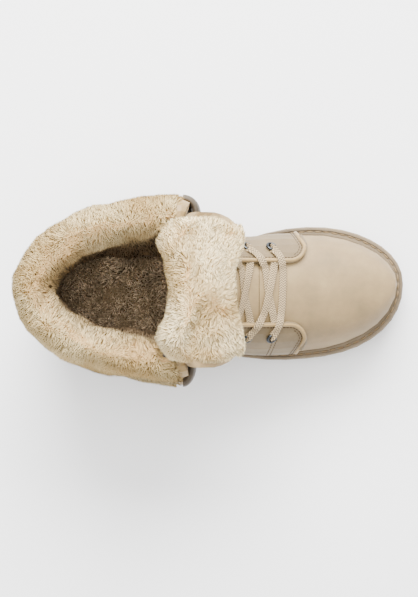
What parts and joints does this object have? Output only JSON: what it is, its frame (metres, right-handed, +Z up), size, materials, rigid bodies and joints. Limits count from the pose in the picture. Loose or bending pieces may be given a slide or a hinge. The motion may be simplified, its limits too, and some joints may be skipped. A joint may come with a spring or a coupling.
{
  "type": "sheepskin boot",
  "caption": "Right lace-up ankle boot in beige leather with a deep pile lining; shaft and tongue are folded down with the pile outwards, on a welted rubber sole.",
  "frame": {"origin": "middle of the heel's flat underside, on the floor", "axes": "+X to the toe, +Y to the inner (medial) side, +Z up"},
  "size_m": [0.2796, 0.1395, 0.1389],
  "materials": {
    "leather": "matt nubuck, cream beige",
    "rubber": "matt, beige",
    "fleece": "deep soft pile, cream to tan",
    "lace": "flat woven, cream",
    "metal": "polished dark gunmetal",
    "lining": "short brown pile"
  },
  "bodies": {
    "root": {"outsole": "rubber", "midsole": "rubber", "welt": "leather", "insole": "lining", "upper": "leather", "quarter_medial": "leather", "quarter_lateral": "leather", "binding_medial": "leather", "binding_lateral": "leather", "gusset_medial": "leather", "gusset_lateral": "leather", "cuff_fleece": "fleece", "tongue": "leather", "tongue_fleece": "fleece", "lace_bar": "lace", "lace_cross_front": "lace", "lace_cross_back": "lace", "eyelet_medial_1": "metal", "eyelet_medial_2": "metal", "eyelet_medial_3": "metal", "eyelet_lateral_1": "metal", "eyelet_lateral_2": "metal", "eyelet_lateral_3": "metal", "eyelet_cuff_medial_1": "metal", "eyelet_cuff_medial_2": "metal", "eyelet_cuff_lateral_1": "metal", "eyelet_cuff_lateral_2": "metal"}
  },
  "joints": []
}
